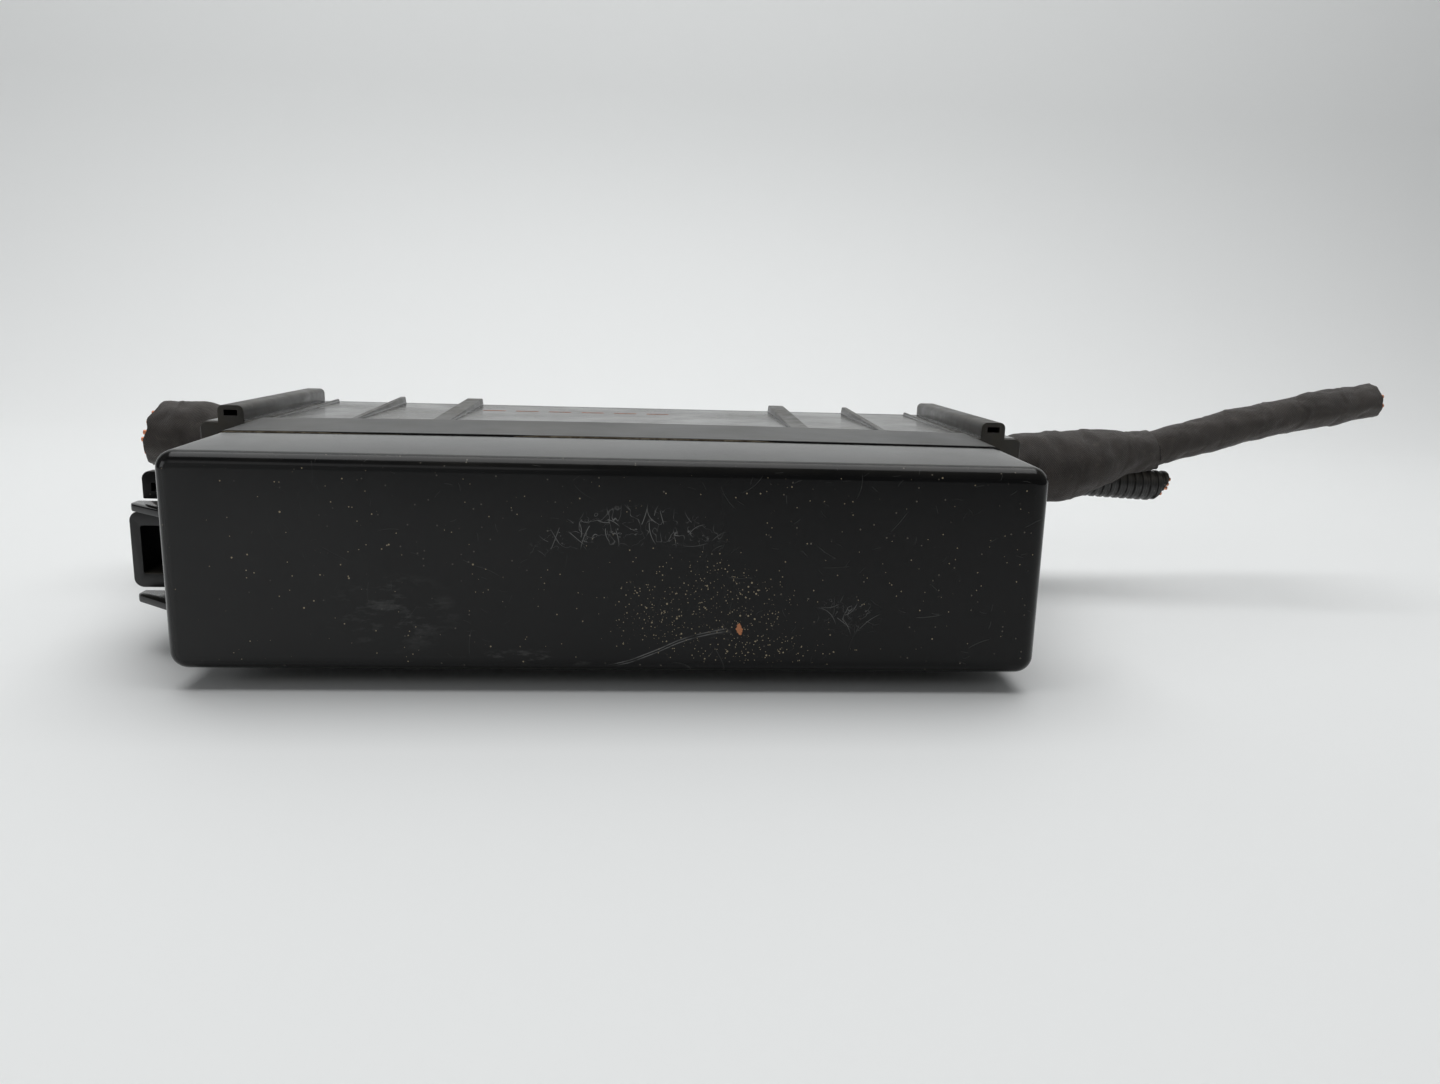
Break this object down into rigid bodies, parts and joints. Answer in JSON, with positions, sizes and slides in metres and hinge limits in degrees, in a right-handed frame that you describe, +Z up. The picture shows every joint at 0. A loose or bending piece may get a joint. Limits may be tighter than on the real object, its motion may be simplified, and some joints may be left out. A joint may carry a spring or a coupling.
{
  "type": "trailer brake relay and driver box",
  "caption": "Low wide plug-in relay and fuse box for trailer brakes: hinged snap cover, sprung latch, slide-in rails, relays, fuses and driver board, with cut taped wiring.",
  "frame": {"origin": "middle of the unit's footprint without the free branch, at the height of the surface it stands on", "axes": "+X to the right along the long side, towards the cut wiring; +Y from the cover to the back plate; +Z up"},
  "size_m": [0.4071, 0.1412, 0.072],
  "materials": {
    "cover_black": "smooth moulded, satin gloss, dusty, finely scratched",
    "body_black": "moulded, dusty satin",
    "lever_black": "moulded, worn satin",
    "panel_grey": "fine matt moulding",
    "soft_rubber": "soft matt",
    "relay_black": "moulded case, tinned blades",
    "fuse_amber": "clear-tinted body, tinned blades",
    "puller_white": "natural nylon",
    "zinc_steel": "zinc plated",
    "bare_copper": "bare copper",
    "alloy": "extruded, plain",
    "board_green": "solder mask on glass laminate",
    "epoxy_black": "moulded epoxy and header plastic",
    "capacitor_sleeve": "shrunk sleeve",
    "cloth_tape": "cloth loom tape, dusty",
    "conduit_black": "corrugated nylon"
  },
  "bodies": {
    "base": {"cover_seal": "soft_rubber", "collar_frame": "body_black", "housing": "body_black", "back_cover": "body_black", "socket_panel": "panel_grey", "panel_screw_left": "zinc_steel", "panel_screw_right": "zinc_steel", "bus_bar": "bare_copper", "circuit_board": "board_green", "processor_chip": "epoxy_black", "capacitor_1": "capacitor_sleeve", "capacitor_2": "capacitor_sleeve", "heat_sink": "alloy", "board_header": "epoxy_black", "plug_right": "puller_white", "plug_left": "puller_white", "grommet_right": "soft_rubber", "grommet_left": "soft_rubber", "harness_trunk": "cloth_tape", "harness_branch": "cloth_tape", "harness_conduit": "conduit_black", "harness_stub": "cloth_tape", "branch_wire_ends": "bare_copper", "conduit_wire_ends": "bare_copper", "stub_wire_ends": "bare_copper", "back_screw_1": "zinc_steel", "back_screw_2": "zinc_steel", "back_screw_3": "zinc_steel", "back_screw_4": "zinc_steel", "board_screw_1": "zinc_steel", "board_screw_2": "zinc_steel", "board_screw_3": "zinc_steel", "board_screw_4": "zinc_steel", "driver_1": "epoxy_black", "driver_2": "epoxy_black", "driver_3": "epoxy_black", "driver_4": "epoxy_black"},
    "cover": {"cover": "cover_black"},
    "latch_lever": {"latch_lever": "lever_black"},
    "relay_1": {"relay_1": "relay_black"},
    "relay_2": {"relay_2": "relay_black"},
    "relay_3": {"relay_3": "relay_black"},
    "relay_4": {"relay_4": "relay_black"},
    "relay_5": {"relay_5": "relay_black"},
    "relay_6": {"relay_6": "relay_black"},
    "fuse_1": {"fuse_1": "fuse_amber"},
    "fuse_2": {"fuse_2": "fuse_amber"},
    "fuse_3": {"fuse_3": "fuse_amber"},
    "fuse_4": {"fuse_4": "fuse_amber"},
    "fuse_5": {"fuse_5": "fuse_amber"},
    "fuse_6": {"fuse_6": "fuse_amber"},
    "fuse_7": {"fuse_7": "fuse_amber"},
    "fuse_8": {"fuse_8": "fuse_amber"},
    "fuse_9": {"fuse_9": "fuse_amber"},
    "fuse_10": {"fuse_10": "fuse_amber"},
    "fuse_puller": {"fuse_puller": "puller_white"}
  },
  "joints": [
    {"name": "cover_swing", "type": "hinge", "parent": "base", "child": "cover", "pos_m": [0.08654, -0.03385, 0.0297], "axis": [0, 0, 1], "range_deg": [0, 90]},
    {"name": "latch_release", "type": "hinge", "parent": "base", "child": "latch_lever", "pos_m": [-0.13445, -0.01055, 0.02525], "axis": [0, 0, -1], "range_deg": [0, 10], "stiffness_Nm_per_rad": 0.05},
    {"name": "relay_1_pull", "type": "slide", "parent": "base", "child": "relay_1", "axis": [0, -1, 0], "range_m": [0, 0.012]},
    {"name": "relay_2_pull", "type": "slide", "parent": "base", "child": "relay_2", "axis": [0, -1, 0], "range_m": [0, 0.012]},
    {"name": "relay_3_pull", "type": "slide", "parent": "base", "child": "relay_3", "axis": [0, -1, 0], "range_m": [0, 0.012]},
    {"name": "relay_4_pull", "type": "slide", "parent": "base", "child": "relay_4", "axis": [0, -1, 0], "range_m": [0, 0.012]},
    {"name": "relay_5_pull", "type": "slide", "parent": "base", "child": "relay_5", "axis": [0, -1, 0], "range_m": [0, 0.012]},
    {"name": "relay_6_pull", "type": "slide", "parent": "base", "child": "relay_6", "axis": [0, -1, 0], "range_m": [0, 0.012]},
    {"name": "fuse_1_pull", "type": "slide", "parent": "base", "child": "fuse_1", "axis": [0, -1, 0], "range_m": [0, 0.012]},
    {"name": "fuse_2_pull", "type": "slide", "parent": "base", "child": "fuse_2", "axis": [0, -1, 0], "range_m": [0, 0.012]},
    {"name": "fuse_3_pull", "type": "slide", "parent": "base", "child": "fuse_3", "axis": [0, -1, 0], "range_m": [0, 0.012]},
    {"name": "fuse_4_pull", "type": "slide", "parent": "base", "child": "fuse_4", "axis": [0, -1, 0], "range_m": [0, 0.012]},
    {"name": "fuse_5_pull", "type": "slide", "parent": "base", "child": "fuse_5", "axis": [0, -1, 0], "range_m": [0, 0.012]},
    {"name": "fuse_6_pull", "type": "slide", "parent": "base", "child": "fuse_6", "axis": [0, -1, 0], "range_m": [0, 0.012]},
    {"name": "fuse_7_pull", "type": "slide", "parent": "base", "child": "fuse_7", "axis": [0, -1, 0], "range_m": [0, 0.012]},
    {"name": "fuse_8_pull", "type": "slide", "parent": "base", "child": "fuse_8", "axis": [0, -1, 0], "range_m": [0, 0.012]},
    {"name": "fuse_9_pull", "type": "slide", "parent": "base", "child": "fuse_9", "axis": [0, -1, 0], "range_m": [0, 0.012]},
    {"name": "fuse_10_pull", "type": "slide", "parent": "base", "child": "fuse_10", "axis": [0, -1, 0], "range_m": [0, 0.012]},
    {"name": "fuse_puller_pull", "type": "slide", "parent": "base", "child": "fuse_puller", "axis": [0, -1, 0], "range_m": [0, 0.012]}
  ]
}
